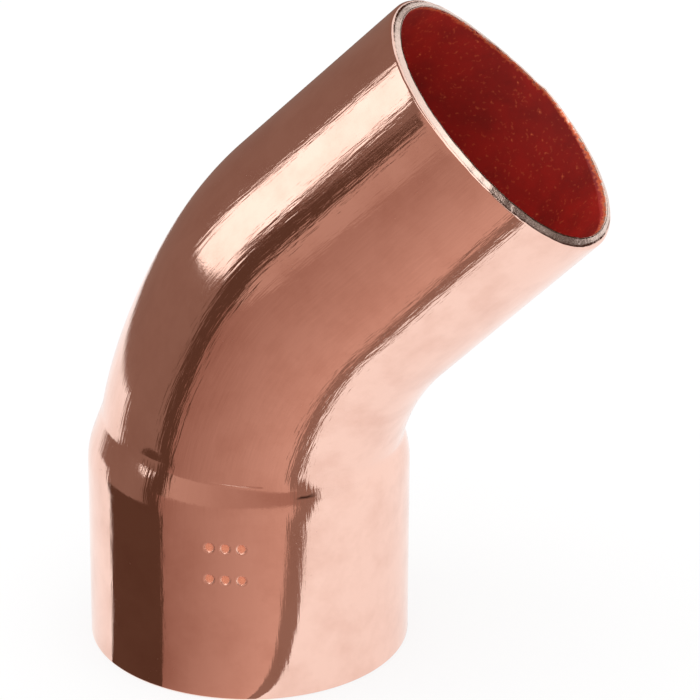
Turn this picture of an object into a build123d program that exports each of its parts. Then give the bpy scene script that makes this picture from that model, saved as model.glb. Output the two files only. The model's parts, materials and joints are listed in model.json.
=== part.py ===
from build123d import *
import math
import os

# Forty-five degree street elbow for 28 mm copper pipe, formed from one piece of tube.
# Millimetres and degrees. The origin is the centre of the socket's mouth, +Z runs up the
# socket's axis, and the plain end leans towards +X, in the XZ plane.

# Plain end, the size of the pipe that the fitting belongs to
spigot_diameter = 28.0
spigot_length = 20.4
tube_wall = 1.1
spigot_edge_rounding = 0.2
spigot_inner_edge_rounding = 0.15

# Socket, widened out of the same tube to take the end of a pipe
socket_clearance = 0.05
socket_depth = 18.6
socket_wall = 1.05
socket_edge_rounding = 0.3

# Shoulder, where the widened tube narrows to the bend
shoulder_height = 17.8
shoulder_rounding = 8.0
shoulder_angle = 20.0
shoulder_run = 2.3

# Bend
bend_angle = 45.0
bend_radius = 30.7
bend_start_height = 17.3
bend_swell = 0.2
bend_flattening = 0.45
bend_sections = 7

# Sizes that follow from those
spigot_radius = spigot_diameter / 2
spigot_bore_radius = spigot_radius - tube_wall
socket_bore_radius = spigot_radius + socket_clearance
socket_radius = socket_bore_radius + socket_wall
bend_radius_at_socket = spigot_radius + bend_swell

# The arc that the tube's axis follows between the socket and the plain end
bend_axis = Plane.XZ * CenterArc(
    (bend_radius, bend_start_height), bend_radius, 180, -bend_angle
)
spigot_plane = Plane(origin=bend_axis @ 1, x_dir=(0, 1, 0), z_dir=bend_axis % 1)


def turned(outline, plane=Plane.XY):
    """Turn a closed outline, drawn as radius and height, about the plane's own Z axis."""
    face = make_face(Plane.XZ * outline)
    return plane.location * revolve(face, Axis.Z, 360)


def shoulder_line(start, rounding, angle, end_radius):
    """Outline of a shoulder: upright at its start, then leaning in to the end radius."""
    if rounding > 0:
        curve = JernArc(start, (0, 1), rounding, angle)
        lean = (end_radius - (curve @ 1).X) / -math.sin(math.radians(angle))
        return curve + Line(curve @ 1, curve @ 1 + lean * (curve % 1))
    direction = Vector(-math.sin(math.radians(angle)), math.cos(math.radians(angle)))
    lean = (start[0] - end_radius) / math.sin(math.radians(angle))
    return Line(start, Vector(*start) + lean * direction)


def socket_outside():
    """The socket's outer wall: rounded mouth edge, straight wall and shoulder."""
    mouth_edge = JernArc(
        (socket_radius - socket_edge_rounding, 0), (1, 0), socket_edge_rounding, 90
    )
    wall = Line(mouth_edge @ 1, (socket_radius, shoulder_height))
    shoulder = shoulder_line(
        (socket_radius, shoulder_height),
        shoulder_rounding,
        shoulder_angle,
        bend_radius_at_socket - shoulder_run,
    )
    top = shoulder @ 1
    back = Polyline(top, (0, top.Y), (0, 0), mouth_edge @ 0)
    return turned(mouth_edge + wall + shoulder + back)


def socket_inside():
    """The socket's bore and the slope at its end that stops a pipe."""
    wall = Line((socket_bore_radius, 0), (socket_bore_radius, socket_depth))
    stop = shoulder_line(
        (socket_bore_radius, socket_depth),
        0,
        shoulder_angle,
        bend_radius_at_socket - tube_wall - shoulder_run,
    )
    top = stop @ 1
    back = Polyline(top, (0, top.Y), (0, 0), wall @ 0)
    return turned(wall + stop + back)


def bend(inset):
    """The bend's tube, or its bore where inset is the wall.

    Its sections are ellipses square to the axis. Their radius shrinks evenly from the socket
    to the plain end, and their outer side is drawn in, most at the middle of the bend.
    """
    sections = []
    for index in range(bend_sections):
        share = index / (bend_sections - 1)
        radius = bend_radius_at_socket - bend_swell * share - inset
        drawn_in = bend_flattening * math.sin(math.pi * share) ** 2
        square_to_axis = Plane(
            origin=bend_axis @ share, x_dir=(0, 1, 0), z_dir=bend_axis % share
        )
        to_inner_side = square_to_axis.y_dir * (
            1 if square_to_axis.y_dir.X > 0 else -1
        )
        square_to_axis.origin += to_inner_side * (drawn_in / 2)
        sections.append(square_to_axis * Ellipse(radius, radius - drawn_in / 2))
    return loft(sections)


def spigot_outside():
    """The plain end's outer wall, straight, with its cut edge rounded."""
    wall = Line((spigot_radius, 0), (spigot_radius, spigot_length - spigot_edge_rounding))
    cut_edge = JernArc(wall @ 1, (0, 1), spigot_edge_rounding, 90)
    back = Polyline(cut_edge @ 1, (0, spigot_length), (0, 0), wall @ 0)
    return turned(wall + cut_edge + back, spigot_plane)


def spigot_inside():
    """The plain end's bore, eased outwards at the cut edge."""
    rounding = spigot_inner_edge_rounding
    wall = Line((spigot_bore_radius, 0), (spigot_bore_radius, spigot_length - rounding))
    cut_edge = JernArc(wall @ 1, (0, 1), rounding, -90)
    back = Polyline(cut_edge @ 1, (0, spigot_length), (0, 0), wall @ 0)
    return turned(wall + cut_edge + back, spigot_plane)


def elbow():
    """The whole fitting: the outer walls, less the way through them."""
    body = socket_outside() + bend(0) + spigot_outside()
    waterway = socket_inside() + bend(tube_wall) + spigot_inside()
    return body - waterway


os.makedirs("parts", exist_ok=True)
export_step(elbow(), "parts/elbow.step")
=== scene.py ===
import json
import math

import bpy
import numpy as np
from bpy.props import FloatProperty, FloatVectorProperty, PointerProperty
from mathutils import Matrix, Vector


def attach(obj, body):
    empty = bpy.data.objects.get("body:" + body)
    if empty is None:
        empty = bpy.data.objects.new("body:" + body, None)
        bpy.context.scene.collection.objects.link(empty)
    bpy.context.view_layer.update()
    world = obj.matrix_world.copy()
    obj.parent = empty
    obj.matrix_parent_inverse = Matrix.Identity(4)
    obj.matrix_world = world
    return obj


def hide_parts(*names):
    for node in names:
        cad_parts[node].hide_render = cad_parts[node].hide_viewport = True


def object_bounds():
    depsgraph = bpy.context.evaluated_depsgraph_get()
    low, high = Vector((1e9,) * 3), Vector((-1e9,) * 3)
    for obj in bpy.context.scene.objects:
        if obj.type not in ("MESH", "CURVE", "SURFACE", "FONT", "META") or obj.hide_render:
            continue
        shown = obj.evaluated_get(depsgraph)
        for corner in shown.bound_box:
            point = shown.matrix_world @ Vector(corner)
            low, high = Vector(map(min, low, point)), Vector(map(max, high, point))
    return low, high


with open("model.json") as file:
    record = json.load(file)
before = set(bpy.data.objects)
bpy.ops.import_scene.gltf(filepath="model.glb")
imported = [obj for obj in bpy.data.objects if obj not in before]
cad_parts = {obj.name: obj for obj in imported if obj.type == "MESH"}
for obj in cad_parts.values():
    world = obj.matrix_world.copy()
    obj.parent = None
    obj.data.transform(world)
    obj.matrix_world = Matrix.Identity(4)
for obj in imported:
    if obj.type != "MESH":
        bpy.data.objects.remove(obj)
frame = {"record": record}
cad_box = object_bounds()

bl_info = {
    "name": "Copper Street Elbow",
    "version": (1, 0, 0),
    "blender": (4, 5, 0),
    "location": "View3D > Sidebar > Elbow",
    "description": "Forty-five degree copper elbow with a socket and a plain end",
    "category": "Add Mesh",
}

MM = 0.001

# What the frame says of the two ends
MOUNTS = {mount["name"]: mount for mount in frame["record"]["mounts"]}
SOCKET_BORE = MOUNTS["socket"]["dims"]["r_mm"] * MM
SOCKET_DEPTH = MOUNTS["socket"]["dims"]["length_mm"] * MM
SPIGOT_RADIUS = MOUNTS["spigot"]["dims"]["r_mm"] * MM
SPIGOT_AXIS = np.array(MOUNTS["spigot"]["axis"])
BEND_ANGLE = math.atan2(SPIGOT_AXIS[0], SPIGOT_AXIS[2])
# The least of the socket's reaches, because the CAD mesh's facets cut its circle short
SOCKET_RADIUS = min(-cad_box[0].x, -cad_box[0].y, cad_box[1].y)
FRONT = np.array([0.0, -1.0, 0.0])
# The point that the lamps and the standing cards are set out from
STAGE_CENTRE = (10 * MM, 0.0, 30 * MM)


def linear(hex_code):
    """sRGB hex code to the linear values that shaders take."""
    parts = [int(hex_code[i : i + 2], 16) / 255 for i in (1, 3, 5)]
    return tuple(p / 12.92 if p <= 0.04045 else ((p + 0.055) / 1.055) ** 2.4 for p in parts)


def rgba(values, strength=1.0):
    return (*(strength * value for value in values[:3]), 1.0)


def colour(name, hex_code):
    """A colour property whose default is given as an sRGB hex code."""
    return FloatVectorProperty(
        name=name,
        description=f"Colour of the {name.lower()}",
        subtype="COLOR",
        size=3,
        min=0.0,
        max=1.0,
        default=linear(hex_code),
    )


def length(name, description, default):
    """A length property with its default in metres."""
    return FloatProperty(
        name=name, description=description, default=default, min=0.0, unit="LENGTH"
    )


def angle(name, description, degrees):
    """An angle property with its default in degrees."""
    return FloatProperty(
        name=name,
        description=description,
        default=math.radians(degrees),
        subtype="ANGLE",
        unit="ROTATION",
    )


def bell(x, centre, width):
    """Bell curve of height one: the exponential of minus the squared distance over the width."""
    return np.exp(-(((x - centre) / width) ** 2))


def angle_bell(around, centre, width):
    """The same round a circle, with angles in degrees."""
    apart = (np.degrees(around) - centre + 180) % 360 - 180
    return np.exp(-((apart / width) ** 2))


class ElbowSizes(bpy.types.PropertyGroup):
    """Sizes of the tube, as the CAD model has them, and of what only the real one has."""

    bend_radius: length("Bend radius", "Radius of the tube's axis in the bend", 30.7 * MM)
    bend_start: length("Bend start", "Height where the axis starts to turn", 17.3 * MM)
    bend_swell: length("Bend swell", "Extra radius of the bend at the socket", 0.2 * MM)
    bend_flattening: length("Flattening", "How far the outer wall is drawn in", 0.45 * MM)
    tube_wall: length("Tube wall", "Wall of the bend and the plain end", 1.1 * MM)
    spigot_length: length("Plain end", "Straight length of the plain end", 20.4 * MM)
    spigot_edge: length("Plain end's edge", "Least rounding of the plain end's edge", 0.18 * MM)
    socket_edge: length("Socket's edge", "Rounding of the socket's mouth edge", 0.3 * MM)
    shoulder_height: length("Shoulder", "Height where the socket narrows", 17.8 * MM)
    shoulder_rounding: length("Shoulder rounding", "Radius of its upper curve", 8.0 * MM)
    shoulder_angle: angle("Shoulder angle", "Lean of the shoulder from the axis", 20)
    cut_slope: angle("Cut's slope", "Slope of the sawn face, lowest at its outer edge", 18)
    punch_depth: length("Punch depth", "Depth of the punched dots", 0.17 * MM)
    punch_radius: length("Punch radius", "Radius of a punched dot", 0.42 * MM)
    punch_spacing: length("Punch spacing", "Between neighbouring dots of a row", 1.5 * MM)


class ElbowFinish(bpy.types.PropertyGroup):
    """Colours of the copper where it is bright, cut, stamped and darkened."""

    copper: colour("Bright copper", "#FAD0C0")
    copper_dull: colour("Dulled copper", "#EDBFAE")
    stamped: colour("Stamped copper", "#F4A180")
    nick_dark: colour("Dark nick line", "#4A2C20")
    cut_edge: colour("Cut edge", "#F4D8CA")
    bore: colour("Bore oxide", "#B61E13")
    bore_dark: colour("Dark bore oxide", "#911810")
    bore_edge: colour("Worn bore edge", "#F07A4C")


class ElbowStudio(bpy.types.PropertyGroup):
    """Camera and light."""

    azimuth: angle("Camera azimuth", "Camera's turn to the right of the front", 11.94)
    elevation: angle("Camera elevation", "Camera's angle above the horizon", 24.3)
    distance: length("Camera distance", "From the camera to the aim point", 403 * MM)
    focal_length: FloatProperty(
        name="Focal length",
        description="Focal length for a sensor 36 mm wide",
        default=224.1,
        min=1.0,
        unit="CAMERA",
    )
    floor: colour("Floor", "#FAFAFA")
    # The shaded card, the warm card, the walls' colour and the dark cards also paint the object's
    # shadow and its darker umbra on the table in front, as the metal mirrors them
    shade: colour("Shaded card", "#9A7468")
    warm_card_and_shadow: colour("Warm card and shadow", "#D2AC9E")
    wall: colour("Walls and shadow", "#8A6E63")
    dark_card_and_umbra: colour("Dark cards and umbra", "#5A4034")
    box: colour("Light boxes", "#FFFEFC")


def section_frame(turn, sizes):
    """Centre and inner direction of the bend's section after the axis has turned by an angle."""
    zero = np.zeros_like(turn)
    run = sizes.bend_radius * (1 - np.cos(turn))
    rise = sizes.bend_start + sizes.bend_radius * np.sin(turn)
    inner = np.stack([np.cos(turn), zero, -np.sin(turn)], axis=-1)
    return np.stack([run, zero, rise], axis=-1), inner


def bend_surface(turn, around, inset, sizes):
    """Bend of the tube.

    A point is the section's centre, plus the ellipse's reach towards the inner side times the
    cosine of the angle around, plus its reach towards the front times the sine. The radius
    shrinks evenly with the turn, and the outer side is drawn in by a squared sine of it.
    """
    share = turn / BEND_ANGLE
    radius = SPIGOT_RADIUS + sizes.bend_swell * (1 - share) - inset
    drawn_in = sizes.bend_flattening * np.sin(np.pi * share) ** 2
    centre, inner = section_frame(turn, sizes)
    reach = (radius - drawn_in / 2) * np.cos(around) + drawn_in / 2
    return centre + reach[..., None] * inner + (radius * np.sin(around))[..., None] * FRONT


def spigot_surface(along, around, radius, sizes):
    """Plain end: circles of a given radius round the axis, a given length past the bend."""
    centre, inner = section_frame(np.full_like(around, BEND_ANGLE), sizes)
    ring = np.cos(around)[:, None] * inner + np.sin(around)[:, None] * FRONT
    along = np.broadcast_to(along, around.shape)
    radius = np.broadcast_to(radius, around.shape)
    return centre + along[:, None] * SPIGOT_AXIS + radius[:, None] * ring


def turned_surface(radius, height, around):
    """Circles of a given radius and height round the socket's axis."""
    radius = np.broadcast_to(radius, around.shape)
    height = np.broadcast_to(height, around.shape)
    return np.stack([radius * np.cos(around), -radius * np.sin(around), height], axis=-1)


def shoulder_outside(height, sizes):
    """Outer radius of the socket at a height: upright, then a round that turns through the
    shoulder's angle, then a straight lean."""
    lean = math.tan(sizes.shoulder_angle)
    round_height = sizes.shoulder_rounding * math.sin(sizes.shoulder_angle)
    round_drop = sizes.shoulder_rounding * (1 - math.cos(sizes.shoulder_angle))
    above = height - sizes.shoulder_height
    on_round = np.clip(above, 0, round_height)
    drop = sizes.shoulder_rounding - np.sqrt(sizes.shoulder_rounding**2 - on_round**2)
    leaning = round_drop + (above - round_height) * lean
    return SOCKET_RADIUS - np.where(above < round_height, drop, leaning)


def shoulder_inside(height, sizes):
    """Radius of the bore at a height: the socket's bore, then the slope that stops a pipe."""
    return SOCKET_BORE - np.maximum(height - SOCKET_DEPTH, 0) * math.tan(sizes.shoulder_angle)


def crease_turn(around, inset, profile, sizes):
    """Turn at which the bend comes out of the shoulder, for each angle around, by halving."""
    low = np.zeros_like(around)
    high = np.full_like(around, math.radians(30))
    for _ in range(48):
        middle = (low + high) / 2
        point = bend_surface(middle, around, inset, sizes)
        inside = profile(point[:, 2], sizes) > np.hypot(point[:, 0], point[:, 1])
        low = np.where(inside, middle, low)
        high = np.where(inside, high, middle)
    return (low + high) / 2


def rim_shape(around, sizes):
    """Unevenness of the sawn mouth, round the tube.

    Gives the height of the face's inner edge above the true end, the reach of the rounding
    at the outer edge, and the radius of the face's inner edge. The saw left the face highest
    at the front, and low behind it, up to the step where its cut met its own start.
    """
    degrees = np.degrees(around) % 360
    before_step = 1 / (1 + np.exp(degrees - 280))
    height = 0.27 + 0.3 * angle_bell(around, 95, 38)
    height = height - 0.45 * angle_bell(around, 250, 30) * before_step
    # A bead of metal pushed up at the step
    height = height + 0.12 * angle_bell(around, 279, 1.6)
    # Lower where the mouth reaches furthest right, to stay inside the CAD model's box
    height = height - 0.1 * angle_bell(around, 0, 25)
    # Fine waves left by the blade
    height = height + 0.012 * np.sin(around * 23) + 0.008 * np.sin(around * 57 + 1)
    rounding = sizes.spigot_edge / MM + 0.32 * angle_bell(around, 180, 45)
    rounding = rounding + 0.32 * angle_bell(around, 15, 18)
    inner = 12.93 + 0.45 * angle_bell(around, 335, 32)
    inner = inner + 0.012 * np.sin(around * 31) + 0.01 * np.sin(around * 74)
    return height * MM, rounding * MM, inner * MM


def segment_distance(across, up, points):
    """Distance from each point of a flat map to the nearest piece of a stroke's polyline."""
    nearest = np.full(across.shape, np.inf)
    for (x0, y0), (x1, y1) in zip(points[:-1], points[1:]):
        run, rise = x1 - x0, y1 - y0
        share = ((across - x0) * run + (up - y0) * rise) / (run**2 + rise**2)
        share = np.clip(share, 0, 1)
        gap = np.hypot(across - x0 - share * run, up - y0 - share * rise)
        nearest = np.minimum(nearest, gap)
    return nearest


# Plain rows of punched dots on the socket's front: how far round it their middle is, the
# rows' heights, and the dots in each
PUNCH_MIDDLE = 1.3 * MM
PUNCH_HEIGHTS = (15.6 * MM, 12.4 * MM)
PUNCH_COUNT = 3

# The bright line under the bend and the dark nick to its right, as ends in millimetres round
# the socket from its front, and height
CREASE_LINE = [(-0.3, 21.75), (6.6, 21.4)]
NICK = [(8.3, 20.25), (9.9, 20.35)]
CREASE_HALF_WIDTH = 0.045
NICK_HALF_WIDTH = 0.09


def punch_relief(across, up, sizes):
    """Depth of the punched dots, and how much of a dot each place is.

    A dot is a round pit with a flat floor and sloping sides, in a shallow dish that is deeper
    than the lip of pushed-up metal round the pit, so that nothing stands proud of the wall.
    """
    distance = np.full(across.shape, np.inf)
    for row in PUNCH_HEIGHTS:
        for place in range(PUNCH_COUNT):
            aside = (place - (PUNCH_COUNT - 1) / 2) * sizes.punch_spacing
            local = np.hypot(across - PUNCH_MIDDLE - aside, up - row)
            distance = np.minimum(distance, local)
    radius = sizes.punch_radius
    pit = np.clip((radius * 1.25 - distance) / (radius * 0.5), 0, 1)
    pit = pit**2 * (3 - 2 * pit)
    lip = bell(distance, radius * 1.45, radius * 0.25)
    dish = bell(distance, 0, radius * 2.6)
    relief = sizes.punch_depth * (0.08 * lip - pit - 0.14 * dish)
    return relief, pit


def line_mark(across, up, points, half_width):
    """How much each place belongs to a thin line, from nought to one."""
    distance = segment_distance(across / MM, up / MM, points)
    return np.clip(1.5 - distance / half_width, 0, 1)


def shoulder_dents(across, up):
    """Dents that the forming tools left on the shoulder, in metres, as bell curves."""
    across, up = across / MM, up / MM
    dents = -0.10 * bell(across, -7.2, 1.7) * bell(up, 22.4, 1.1)
    dents = dents - 0.02 * bell(across, -7.0, 0.35) * bell(up, 21.6, 0.3)
    dents = dents - 0.05 * bell(across, 10.5, 2.6) * bell(up, 21.4, 0.8)
    dents = dents + 0.03 * bell(across, 4.5, 2.5) * bell(up, 21.0, 1.0)
    return dents * MM


def columns():
    """Angles around the tube: even, and closer together at the front, where the marks are."""
    front = math.radians(85.5)
    spread = math.radians(22)
    fine = np.linspace(front - spread, front + spread, 122)
    coarse = np.linspace(front + spread, front - spread + 2 * math.pi, 146)[1:-1]
    return np.concatenate([fine, coarse])


class TubeRows:
    """Rings of the tube in order, each with its finish and its length along the surface."""

    def __init__(self):
        self.rings = []
        self.finishes = []
        self.lengths = []

    def add(self, ring, finish):
        travelled = 0.0
        if self.rings:
            step = np.linalg.norm(ring - self.rings[-1], axis=-1).mean()
            travelled = self.lengths[-1] + float(step)
        self.rings.append(ring)
        self.finishes.append(finish)
        self.lengths.append(travelled)


def shares(count):
    """Even shares of the way from one ring, left out, to another."""
    return np.linspace(0, 1, count + 1)[1:]


def add_socket_outside(rows, azimuth, sizes):
    """Mouth edge and straight wall of the socket, with close rings where the marks are."""
    edge = sizes.socket_edge
    for turn in np.linspace(0, math.pi / 2, 6):
        radius = SOCKET_RADIUS - edge * (1 - math.sin(turn))
        rows.add(turned_surface(radius, edge * (1 - math.cos(turn)), azimuth), "copper")
    stamped_low, stamped_high = 6.8 * MM, 17.5 * MM
    heights = [
        edge + (stamped_low - edge) * shares(12),
        stamped_low + (stamped_high - stamped_low) * shares(100),
        stamped_high + (sizes.shoulder_height - stamped_high) * shares(2),
    ]
    for height in np.concatenate(heights):
        rows.add(turned_surface(SOCKET_RADIUS, height, azimuth), "copper")


def add_shoulder(rows, around, azimuth, sizes):
    """Shoulder, the corner over it, and the bend.

    The corner is a quadratic curve from the shoulder to the bend. It is sharp at the outer
    side and soft at the front and the inner side.
    """
    start = crease_turn(around, 0.0, shoulder_outside, sizes)
    crease = bend_surface(start, around, 0.0, sizes)
    reach = (0.3 + 0.9 * angle_bell(around, 60, 42)) * MM
    below = crease[:, 2] - reach * math.cos(sizes.shoulder_angle)
    for share in shares(30):
        height = sizes.shoulder_height + (below - sizes.shoulder_height) * share
        rows.add(turned_surface(shoulder_outside(height, sizes), height, azimuth), "copper")
    corner_low = rows.rings[-1]
    after = start + reach / sizes.bend_radius
    corner_high = bend_surface(after, around, 0.0, sizes)
    for share in shares(12):
        ring = (1 - share) ** 2 * corner_low + 2 * share * (1 - share) * crease
        rows.add(ring + share**2 * corner_high, "copper")
    for share in shares(66):
        turn = after + (BEND_ANGLE - after) * share
        rows.add(bend_surface(turn, around, 0.0, sizes), "copper")


def add_mouth(rows, around, sizes):
    """Plain end with its sawn face, which slopes down to its outer edge."""
    height, rounding, inner = rim_shape(around, sizes)
    face_radius = SPIGOT_RADIUS - rounding
    face_low = sizes.spigot_length + height - (face_radius - inner) * math.tan(sizes.cut_slope)
    wall_end = face_low - rounding * 0.8
    for share in shares(36):
        rows.add(spigot_surface(wall_end * share, around, SPIGOT_RADIUS, sizes), "copper")
    for turn in np.linspace(0, math.pi / 2, 8)[1:]:
        radius = face_radius + rounding * math.cos(turn)
        along = wall_end + rounding * 0.8 * math.sin(turn)
        rows.add(spigot_surface(along, around, radius, sizes), "copper")
    for share in shares(5):
        radius = face_radius + (inner - face_radius) * share
        along = face_low + (sizes.spigot_length + height - face_low) * share
        rows.add(spigot_surface(along, around, radius, sizes), "cut")
    bore = SPIGOT_RADIUS - sizes.tube_wall
    chamfer_end = sizes.spigot_length + height - 0.12 * MM - (inner - bore)
    for share in shares(4):
        radius = inner + (bore - inner) * share
        along = sizes.spigot_length + height
        along = along + (chamfer_end - along) * share
        rows.add(spigot_surface(along, around, radius, sizes), "bore")
    for share in shares(12):
        along = chamfer_end - 1.2 * MM * share
        rows.add(spigot_surface(along, around, bore, sizes), "bore")
    deep = chamfer_end - 1.2 * MM
    for share in shares(20):
        rows.add(spigot_surface(deep * (1 - share), around, bore, sizes), "bore")


def add_socket_inside(rows, around, azimuth, sizes):
    """Bore of the bend, the slope that stops a pipe, and the socket's bore."""
    start = crease_turn(around, sizes.tube_wall, shoulder_inside, sizes)
    for share in shares(34):
        turn = BEND_ANGLE + (start - BEND_ANGLE) * share
        rows.add(bend_surface(turn, around, sizes.tube_wall, sizes), "bore")
    crease = rows.rings[-1]
    own_azimuth = np.unwrap(np.arctan2(-crease[:, 1], crease[:, 0]))
    for share in shares(7):
        height = crease[:, 2] + (SOCKET_DEPTH - crease[:, 2]) * share
        turned = own_azimuth * (1 - share) + azimuth * share
        rows.add(turned_surface(shoulder_inside(height, sizes), height, turned), "bore")
    edge = 0.15 * MM
    for share in shares(14):
        height = SOCKET_DEPTH * (1 - share) + edge * share
        rows.add(turned_surface(SOCKET_BORE, height, azimuth), "bore")
    for turn in np.linspace(0, math.pi / 2, 4)[1:]:
        radius = SOCKET_BORE + edge * (1 - math.cos(turn))
        rows.add(turned_surface(radius, edge * (1 - math.sin(turn)), azimuth), "cut")
    rows.add(turned_surface((SOCKET_RADIUS + SOCKET_BORE) / 2, 0.0, azimuth), "cut")


def ring_normals(rings):
    """Unit normals of a closed grid, from the differences along and around it."""
    along = np.roll(rings, -1, axis=0) - np.roll(rings, 1, axis=0)
    around = np.roll(rings, -1, axis=1) - np.roll(rings, 1, axis=1)
    normal = np.cross(along, around)
    return normal / np.maximum(np.linalg.norm(normal, axis=-1, keepdims=True), 1e-12)


def signed_volume(points, quads):
    """Volume inside a closed mesh of quads: positive if its faces point outwards."""
    a, b, c, d = (points[quads[:, i]] for i in range(4))
    first = np.einsum("ij,ij->i", a, np.cross(b, c))
    second = np.einsum("ij,ij->i", a, np.cross(c, d))
    return (first.sum() + second.sum()) / 6


def new_mesh_object(name, points, faces):
    mesh = bpy.data.meshes.new(name)
    mesh.from_pydata(points.tolist(), [], faces.tolist())
    mesh.polygons.foreach_set("use_smooth", np.ones(len(mesh.polygons), dtype=bool))
    made = bpy.data.objects.new(name, mesh)
    bpy.context.scene.collection.objects.link(made)
    return made


def add_number(mesh, name, values):
    """Store one number for each vertex, for the materials to read."""
    layer = mesh.attributes.new(name, "FLOAT", "POINT")
    layer.data.foreach_set("value", values.astype(np.float32).ravel())


def add_vector(mesh, name, values):
    """Store one vector for each vertex, for the materials to read."""
    layer = mesh.attributes.new(name, "FLOAT_VECTOR", "POINT")
    layer.data.foreach_set("vector", values.astype(np.float32).ravel())


def add_node(tree, kind, inputs=None, **settings):
    """Add a node, set its settings, and set or link each named input."""
    made = tree.nodes.new(kind)
    for name, value in settings.items():
        setattr(made, name, value)
    for name, value in (inputs or {}).items():
        socket = made.inputs[name]
        if isinstance(value, bpy.types.NodeSocket):
            tree.links.new(value, socket)
        else:
            socket.default_value = value
    return made


def mix_colours(tree, factor, first, second):
    """Colour between two others. The mix node's colour sockets are its inputs 6 and 7."""
    inputs = {0: factor, 6: first, 7: second}
    return add_node(tree, "ShaderNodeMix", inputs, data_type="RGBA").outputs[2]


def calculate(tree, operation, first, second=0.0):
    """One step of arithmetic on two numbers."""
    inputs = {0: first, 1: second}
    return add_node(tree, "ShaderNodeMath", inputs, operation=operation).outputs[0]


def remap(tree, value, low, high, to_low=0.0, to_high=1.0, smooth=False):
    """A number moved from one range to another, held at the ends."""
    inputs = {
        "Value": value,
        "From Min": low,
        "From Max": high,
        "To Min": to_low,
        "To Max": to_high,
    }
    kind = "SMOOTHSTEP" if smooth else "LINEAR"
    made = add_node(tree, "ShaderNodeMapRange", inputs, interpolation_type=kind)
    return made.outputs["Result"]


def noise(tree, place, size, detail=2.0, roughness=0.5):
    """Noise whose features are about a given length across."""
    inputs = {"Vector": place, "Scale": 1 / size, "Detail": detail, "Roughness": roughness}
    return add_node(tree, "ShaderNodeTexNoise", inputs).outputs["Fac"]


def stretched(tree, place, scale):
    """A place whose patterns are drawn out along the tube."""
    inputs = {"Vector": place, "Scale": (1.0, 1.0, scale)}
    return add_node(tree, "ShaderNodeMapping", inputs).outputs["Vector"]


def bump(tree, height, depth, strength=1.0, below=None):
    """Bump of a given depth, over another one."""
    inputs = {"Height": height, "Distance": depth, "Strength": strength}
    if below is not None:
        inputs["Normal"] = below
    return add_node(tree, "ShaderNodeBump", inputs).outputs["Normal"]


def attribute(tree, name, output="Fac"):
    return add_node(tree, "ShaderNodeAttribute", attribute_name=name).outputs[output]


def new_material(name):
    material = bpy.data.materials.new(name)
    material.use_nodes = True
    return material, material.node_tree, material.node_tree.nodes["Principled BSDF"]


def polished_copper(finish):
    """Drawn copper tube, tumbled bright.

    Bare copper reflects nearly all red light and less blue, so its reflections are rose. The
    surface is close to a mirror, broken by drawing lines along the tube and by fine handling
    scratches, which fray the edges of its reflections. The punched dots are freshly pressed
    and matt. The nick is only a dark line in the colour, with no groove.
    """
    material, tree, shader = new_material("polished_copper")
    place = attribute(tree, "tube_place", "Vector")
    stamped = attribute(tree, "stamped")
    scratched = attribute(tree, "scratched")
    nick_darkened = attribute(tree, "nick_darkened")
    drawn = attribute(tree, "drawn")

    lines = noise(tree, stretched(tree, place, 0.1), 0.3 * MM, 2.0, 0.6)
    waves = noise(tree, stretched(tree, place, 0.3), 1.6 * MM, 2.0, 0.5)
    grain = noise(tree, place, 0.16 * MM, 2.0, 0.6)
    clouds = noise(tree, place, 5.0 * MM, 4.0, 0.6)
    flecks = remap(tree, noise(tree, place, 0.22 * MM, 1.0, 0.5), 0.66, 0.74)
    fleck_share = calculate(tree, "MULTIPLY", flecks, remap(tree, clouds, 0.45, 0.65, 0.1, 0.8))

    dull = remap(tree, clouds, 0.42, 0.7, 0.0, 0.8)
    tint = mix_colours(tree, dull, rgba(finish.copper), rgba(finish.copper_dull))
    tint = mix_colours(tree, stamped, tint, rgba(finish.stamped))
    # The nick is only a dark line mixed into the colour; it has no groove
    tint = mix_colours(tree, nick_darkened, tint, rgba(finish.nick_dark))
    tree.links.new(tint, shader.inputs["Base Color"])
    metal = remap(tree, stamped, 0.0, 1.0, 1.0, 0.45)
    tree.links.new(metal, shader.inputs["Metallic"])

    rough = remap(tree, clouds, 0.35, 0.7, 0.06, 0.12)
    rough = calculate(tree, "ADD", rough, calculate(tree, "MULTIPLY", fleck_share, 0.22))
    marks = calculate(tree, "MAXIMUM", calculate(tree, "MULTIPLY", stamped, 0.35), rough)
    marks = calculate(tree, "MAXIMUM", calculate(tree, "MULTIPLY", scratched, 0.45), marks)
    tree.links.new(marks, shader.inputs["Roughness"])

    normal = bump(tree, waves, 0.016 * MM)
    normal = bump(tree, lines, 0.02 * MM, remap(tree, drawn, 0.0, 1.0, 0.4, 1.0), normal)
    normal = bump(tree, grain, 0.003 * MM, 1.0, normal)
    normal = bump(tree, scratched, 0.05 * MM, 1.0, normal)
    crumpled = noise(tree, place, 0.2 * MM, 2.0, 0.5)
    normal = bump(tree, crumpled, 0.06 * MM, stamped, normal)
    tree.links.new(normal, shader.inputs["Normal"])
    return material


def cut_copper(finish):
    """Sawn copper edge: the same metal, with fine grooves round the tube, so that it shines
    across them."""
    material, tree, shader = new_material("sawn_copper_edge")
    place = attribute(tree, "tube_place", "Vector")
    teeth = noise(tree, place, 0.35 * MM, 3.0, 0.6)
    tree.links.new(bump(tree, teeth, 0.02 * MM), shader.inputs["Normal"])
    tree.links.new(attribute(tree, "radial", "Vector"), shader.inputs["Tangent"])
    shader.inputs["Base Color"].default_value = rgba(finish.cut_edge)
    shader.inputs["Metallic"].default_value = 1.0
    shader.inputs["Roughness"].default_value = 0.24
    shader.inputs["Anisotropic"].default_value = 0.6
    return material


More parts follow.
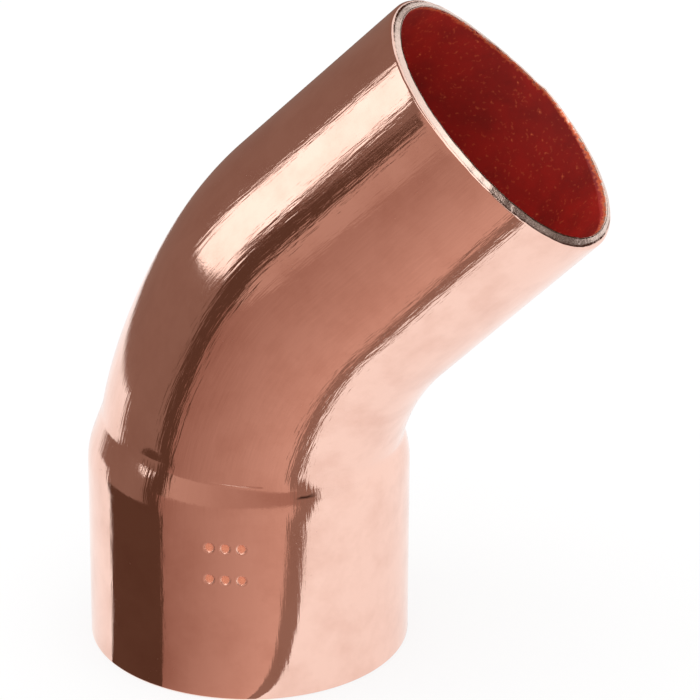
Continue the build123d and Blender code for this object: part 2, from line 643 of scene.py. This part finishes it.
def oxidised_bore(finish):
    """Red copper oxide left in the bore by annealing: matt, cloudy, and worn off at the edge."""
    material, tree, shader = new_material("red_oxidised_bore")
    place = add_node(tree, "ShaderNodeTexCoord").outputs["Object"]
    clouds = noise(tree, place, 6.0 * MM, 5.0, 0.6)
    specks = noise(tree, place, 0.35 * MM, 1.0, 0.5)
    worn = attribute(tree, "worn")
    worn = calculate(tree, "ADD", worn, remap(tree, specks, 0.3, 0.7, -0.25, 0.25))
    tint = mix_colours(
        tree, remap(tree, clouds, 0.35, 0.65), rgba(finish.bore_dark), rgba(finish.bore)
    )
    tint = mix_colours(tree, remap(tree, worn, 0.15, 0.6), tint, rgba(finish.bore_edge))
    tint = mix_colours(tree, remap(tree, worn, 0.6, 0.95), tint, rgba(finish.cut_edge))
    tint = mix_colours(tree, remap(tree, specks, 0.76, 0.8, 0.0, 0.6), tint, rgba(finish.bore_edge))
    tree.links.new(tint, shader.inputs["Base Color"])
    tree.links.new(remap(tree, worn, 0.3, 0.9), shader.inputs["Metallic"])
    tree.links.new(remap(tree, worn, 0.3, 0.9, 0.5, 0.25), shader.inputs["Roughness"])
    return material


class ELBOW_OT_tube(bpy.types.Operator):
    """Build the elbow as one closed surface, in place of the CAD node"""

    bl_idname = "elbow.tube"
    bl_label = "Elbow tube"

    def execute(self, context):
        sizes = context.scene.elbow_sizes
        finish = context.scene.elbow_finish
        around = columns()
        start = crease_turn(around, 0.0, shoulder_outside, sizes)
        crease = bend_surface(start, around, 0.0, sizes)
        azimuth = np.unwrap(np.arctan2(-crease[:, 1], crease[:, 0]))
        rows = TubeRows()
        add_socket_outside(rows, azimuth, sizes)
        add_shoulder(rows, around, azimuth, sizes)
        add_mouth(rows, around, sizes)
        add_socket_inside(rows, around, azimuth, sizes)
        rings = np.array(rows.rings)
        count, wide = rings.shape[:2]

        # Marks and dents are pressed in along the surface's normal
        bright = np.array([name == "copper" for name in rows.finishes])[:, None]
        straight = rings[..., 2] < sizes.shoulder_height
        across = np.arctan2(rings[..., 0], -rings[..., 1]) * SOCKET_RADIUS
        up = rings[..., 2]
        relief, stamped = punch_relief(across, up, sizes)
        relief = np.where(bright & straight, relief, 0.0)
        stamped = np.where(bright & straight, stamped, 0.0)
        near_front = (rings[..., 1] < 0) & bright
        relief = relief + np.where(near_front, shoulder_dents(across, up), 0.0)
        crease_line = line_mark(across, up, CREASE_LINE, CREASE_HALF_WIDTH)
        scratched = np.where(near_front, crease_line, 0.0)
        # The nick is drawn only in the colour, as a dark line, and is not pressed in
        nick = line_mark(across, up, NICK, NICK_HALF_WIDTH)
        nick_darkened = np.where(near_front, nick, 0.0)
        normals = ring_normals(rings)
        outward = np.sign((normals[20, :, :2] * rings[20, :, :2]).sum())
        rings = rings + outward * normals * relief[..., None]

        index = np.arange(count * wide).reshape(count, wide)
        down = np.roll(index, -1, axis=0)
        corners = [index, np.roll(index, -1, axis=1), np.roll(down, -1, axis=1), down]
        quads = np.stack(corners, axis=-1).reshape(-1, 4)
        points = rings.reshape(-1, 3)
        if signed_volume(points, quads) < 0:
            quads = quads[:, ::-1]
        if signed_volume(points, quads) <= 0:
            raise RuntimeError("The tube's surface does not close")
        tube = new_mesh_object("elbow_tube", points, quads)

        order = ["copper", "cut", "bore"]
        finishes = np.roll(np.array([order.index(name) for name in rows.finishes]), -1)
        tube.data.polygons.foreach_set(
            "material_index", np.repeat(finishes, wide).astype(np.int32)
        )
        lengths = np.broadcast_to(np.array(rows.lengths)[:, None], (count, wide))
        round_tube = [SPIGOT_RADIUS * np.cos(around), SPIGOT_RADIUS * np.sin(around)]
        round_tube = [np.broadcast_to(values, (count, wide)) for values in round_tube]
        add_vector(tube.data, "tube_place", np.stack([*round_tube, lengths], axis=-1))
        _, inner = section_frame(np.full_like(around, BEND_ANGLE), sizes)
        radial = np.cos(around)[:, None] * inner + np.sin(around)[:, None] * FRONT
        add_vector(tube.data, "radial", np.broadcast_to(radial, (count, wide, 3)))
        add_number(tube.data, "stamped", stamped)
        add_number(tube.data, "scratched", scratched)
        add_number(tube.data, "nick_darkened", nick_darkened)
        add_number(tube.data, "drawn", np.clip((up / MM - 17) / 4, 0, 1))
        centre, _ = section_frame(np.array(BEND_ANGLE), sizes)
        from_bend = (rings - centre) @ SPIGOT_AXIS
        height, _, _ = rim_shape(around, sizes)
        below_edge = sizes.spigot_length + height - from_bend
        add_number(tube.data, "worn", np.clip(1 - below_edge / (0.5 * MM), 0, 1))
        for material in (polished_copper(finish), cut_copper(finish), oxidised_bore(finish)):
            tube.data.materials.append(material)
        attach(tube, "root")
        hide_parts("elbow")
        return {"FINISHED"}


def studio_world(scene):
    """World: even white, to the camera, to matt surfaces and to the metal alike."""
    world = bpy.data.worlds.new("white_studio")
    scene.world = world
    world.use_nodes = True
    tree = world.node_tree
    tree.nodes.clear()
    white = add_node(tree, "ShaderNodeBackground", {"Color": (1, 1, 1, 1)})
    add_node(tree, "ShaderNodeOutputWorld", {"Surface": white.outputs[0]})


def pale_floor(studio):
    """Pale seamless paper: white to the camera and in the metal, with the object's shadow."""
    material = bpy.data.materials.new("pale_seamless_paper")
    material.use_nodes = True
    tree = material.node_tree
    tree.nodes.clear()
    matt = add_node(tree, "ShaderNodeBsdfDiffuse", {"Color": rgba(studio.floor)})
    white = add_node(tree, "ShaderNodeEmission", {"Color": (1, 1, 1, 1)})
    rays = add_node(tree, "ShaderNodeLightPath").outputs
    direct = calculate(tree, "MAXIMUM", rays["Is Camera Ray"], rays["Is Glossy Ray"])
    direct = calculate(tree, "MAXIMUM", direct, rays["Is Transmission Ray"])
    share = calculate(tree, "MULTIPLY", direct, 0.8)
    inputs = {0: share, 1: matt.outputs[0], 2: white.outputs[0]}
    mixed = add_node(tree, "ShaderNodeMixShader", inputs)
    add_node(tree, "ShaderNodeOutputMaterial", {"Surface": mixed.outputs[0]})
    return material


def add_card(name, grid, first, last):
    """A plain card of the stage that the metal mirrors, blended from one colour to another.

    The grid of its points runs along the card in rows. The camera doesn't see it, and it
    casts no shadow, so that it neither hides the object nor dims it.
    """
    rows, wide = grid.shape[:2]
    index = np.arange(rows * wide).reshape(rows, wide)
    corners = [index[:-1, :-1], index[:-1, 1:], index[1:, 1:], index[1:, :-1]]
    quads = np.stack(corners, axis=-1).reshape(-1, 4)
    card = new_mesh_object(name, grid.reshape(-1, 3), quads)
    along = np.broadcast_to(np.linspace(0, 1, rows)[:, None], (rows, wide))
    add_number(card.data, "along_card", along)
    material = bpy.data.materials.new(name)
    material.use_nodes = True
    tree = material.node_tree
    tree.nodes.clear()
    seen = mix_colours(tree, attribute(tree, "along_card"), first, last)
    lit = add_node(tree, "ShaderNodeEmission", {"Color": seen})
    add_node(tree, "ShaderNodeOutputMaterial", {"Surface": lit.outputs[0]})
    card.data.materials.append(material)
    card.visible_camera = False
    card.visible_diffuse = False
    card.visible_shadow = False


def standing_card(name, sides, heights, distance, first, last):
    """Card on a sphere about the object, between two azimuths and two elevations, in degrees."""
    turned = np.radians(np.linspace(*sides, 33))[:, None]
    raised = np.radians(np.linspace(*heights, 17))[None, :]
    east = np.sin(turned) * np.cos(raised)
    north = -np.cos(turned) * np.cos(raised)
    up = np.broadcast_to(np.sin(raised), east.shape)
    grid = np.stack([east, north, up], axis=-1) * distance
    add_card(name, grid + np.array(STAGE_CENTRE), first, last)


def lying_card(name, feet, sides, reach, first, last):
    """Card on the table, from the socket's foot outwards.

    A point is a place on the foot's circle, plus a distance in a direction. Both azimuths
    turn evenly from the card's one side to the other, so its sides mirror as straight lines.
    """
    foot = np.radians(np.linspace(*feet, 33))[:, None]
    turned = np.radians(np.linspace(*sides, 33))[:, None]
    away = np.linspace(*reach, 2)[None, :]
    east = SOCKET_RADIUS * np.sin(foot) + away * np.sin(turned)
    north = -SOCKET_RADIUS * np.cos(foot) - away * np.cos(turned)
    height = np.full(east.shape, 0.05 * MM)
    add_card(name, np.stack([east, north, height], axis=-1), first, last)


def add_cards(studio):
    """The studio round the object: cards on the table in front, which paint the object's shadow
    there, walls, and light boxes.

    Azimuths are from the front towards the right, elevations above the horizon, in degrees.
    The table and the world are white wherever no card lies or stands.
    """
    shade, shadow_pale_end = rgba(studio.shade), rgba(studio.warm_card_and_shadow)
    wall, dark = rgba(studio.wall), rgba(studio.dark_card_and_umbra)
    streak_and_umbra = rgba(studio.wall, 1.15)
    black = rgba(studio.dark_card_and_umbra, 0.5)
    far, table_end, contact_shadow_reach = 3.0, 0.13, 0.06
    # Painted shadow: the cards lying in front stand where the object's own shadow falls on the
    # table. The front and left cards are the shadow. The strips at its two edges and the dark card
    # by the foot are its darker umbra
    lying_card("painted_front_shadow", (-19.5, 12), (-51, 46), (0, far), shade, shadow_pale_end)
    lying_card("painted_umbra_right", (12, 15.4), (46, 60), (0, far), streak_and_umbra, streak_and_umbra)
    lying_card("painted_umbra_left", (-26, -19.5), (-64, -51), (0, far), dark, dark)
    lying_card("painted_contact_shadow", (-46, -26), (-104, -64), (0, contact_shadow_reach), dark, dark)
    lying_card("painted_left_shadow", (-46, -26), (-104, -64), (contact_shadow_reach, far), wall, wall)
    lying_card("back_card", (-84, -46), (-180, -104), (table_end, far), wall, wall)

    wide, near = 1.2, 1.1
    pale, faint = rgba(studio.warm_card_and_shadow, 0.8), rgba(studio.shade, 1.2)
    standing_card("left_wall", (-180, -50), (-1, 75), wide, wall, wall)
    standing_card("front_wall", (-50, 46), (-1, 36), wide, pale, faint)
    standing_card("right_streak", (46, 62), (-1, 15), wide, streak_and_umbra, streak_and_umbra)
    standing_card("dark_corner", (-63, -47), (-1, 16), near, dark, dark)
    standing_card("dark_back", (126, 172), (-1, 25), near, black, black)
    standing_card("dark_right", (50, 126), (15, 25), near, black, black)
    standing_card("ceiling", (-180, 180), (64, 89.9), wide, wall, wall)
    left, right, front = (rgba(studio.box, level) for level in (1.4, 1.6, 1.5))
    standing_card("left_box_face", (-98.5, -66), (8.5, 58), near, left, left)
    standing_card("right_box_face", (58, 131), (26.5, 58), near, right, right)
    standing_card("front_box_face", (-42, 48), (36, 62), near, front, front)


def away_from(azimuth, elevation):
    """Unit vector towards an azimuth and an elevation, in radians."""
    return Vector(
        (
            math.sin(azimuth) * math.cos(elevation),
            -math.cos(azimuth) * math.cos(elevation),
            math.sin(elevation),
        )
    )


def area_lamp(name, azimuth, elevation, distance, width, height, radiance):
    """A soft box that faces the object from an azimuth and elevation in degrees.

    Its power is its radiance times its area times pi, as for an even flat lamp.
    """
    data = bpy.data.lights.new(name, "AREA")
    data.shape = "RECTANGLE"
    data.size = width
    data.size_y = height
    data.energy = radiance * width * height * math.pi
    lamp = bpy.data.objects.new(name, data)
    bpy.context.scene.collection.objects.link(lamp)
    away = away_from(math.radians(azimuth), math.radians(elevation))
    lamp.location = Vector(STAGE_CENTRE) + away * distance
    lamp.rotation_euler = away.to_track_quat("Z", "Y").to_euler()
    # The metal mirrors the boxes' faces, which are cards, so the lamps only light matt surfaces
    lamp.visible_glossy = False
    return lamp


class ELBOW_OT_stage(bpy.types.Operator):
    """Set up the floor, the light and the camera"""

    bl_idname = "elbow.stage"
    bl_label = "Stage"

    def execute(self, context):
        scene = context.scene
        studio = scene.elbow_studio
        scene.view_settings.view_transform = "Standard"
        studio_world(scene)

        half = 3.0
        corners = [(-half, -half, 0), (half, -half, 0), (half, half, 0), (-half, half, 0)]
        floor = new_mesh_object("floor", np.array(corners), np.array([[0, 1, 2, 3]]))
        floor.data.materials.append(pale_floor(studio))
        add_cards(studio)

        area_lamp("left_box", -82, 30, 0.9, 0.5, 0.6, 1.2)
        area_lamp("top_box", 30, 75, 1.1, 0.9, 0.9, 0.6)

        # The aim point, and where it lands from the frame's centre in a 700-pixel image
        aim = Vector((10 * MM, 0, 28 * MM))
        aim_right, aim_down, frame_width = 3.85, 17.3, 700
        roll = math.radians(0.34)
        back = away_from(studio.azimuth, studio.elevation)
        level = Vector((math.cos(studio.azimuth), math.sin(studio.azimuth), 0))
        upright = back.cross(level)
        right = level * math.cos(roll) + upright * math.sin(roll)
        up = upright * math.cos(roll) - level * math.sin(roll)
        data = bpy.data.cameras.new("camera")
        data.sensor_width = 36
        data.lens = studio.focal_length
        data.clip_start = 0.01
        data.clip_end = 20
        pixel = data.sensor_width / data.lens / frame_width * studio.distance
        place = aim + back * studio.distance - right * aim_right * pixel + up * aim_down * pixel
        camera = bpy.data.objects.new("camera", data)
        camera.matrix_world = Matrix.Translation(place) @ Matrix(
            (
                (right.x, up.x, back.x, 0),
                (right.y, up.y, back.y, 0),
                (right.z, up.z, back.z, 0),
                (0, 0, 0, 1),
            )
        )
        scene.collection.objects.link(camera)
        scene.camera = camera
        return {"FINISHED"}


class ELBOW_PT_panel(bpy.types.Panel):
    """Sidebar panel with the elbow's sizes, finish and stage"""

    bl_idname = "ELBOW_PT_panel"
    bl_label = "Copper elbow"
    bl_space_type = "VIEW_3D"
    bl_region_type = "UI"
    bl_category = "Elbow"

    def draw(self, context):
        layout = self.layout
        scene = context.scene
        for group in (scene.elbow_sizes, scene.elbow_finish, scene.elbow_studio):
            box = layout.box()
            for name in group.__annotations__:
                box.prop(group, name)
        layout.operator(ELBOW_OT_tube.bl_idname)
        layout.operator(ELBOW_OT_stage.bl_idname)


CLASSES = (
    ElbowSizes,
    ElbowFinish,
    ElbowStudio,
    ELBOW_OT_tube,
    ELBOW_OT_stage,
    ELBOW_PT_panel,
)


def register():
    for one in CLASSES:
        bpy.utils.register_class(one)
    bpy.types.Scene.elbow_sizes = PointerProperty(type=ElbowSizes)
    bpy.types.Scene.elbow_finish = PointerProperty(type=ElbowFinish)
    bpy.types.Scene.elbow_studio = PointerProperty(type=ElbowStudio)


def unregister():
    del bpy.types.Scene.elbow_sizes
    del bpy.types.Scene.elbow_finish
    del bpy.types.Scene.elbow_studio
    for one in reversed(CLASSES):
        bpy.utils.unregister_class(one)


def main():
    register()
    bpy.ops.elbow.tube()
    bpy.ops.elbow.stage()


if __name__ == "__main__":
    main()
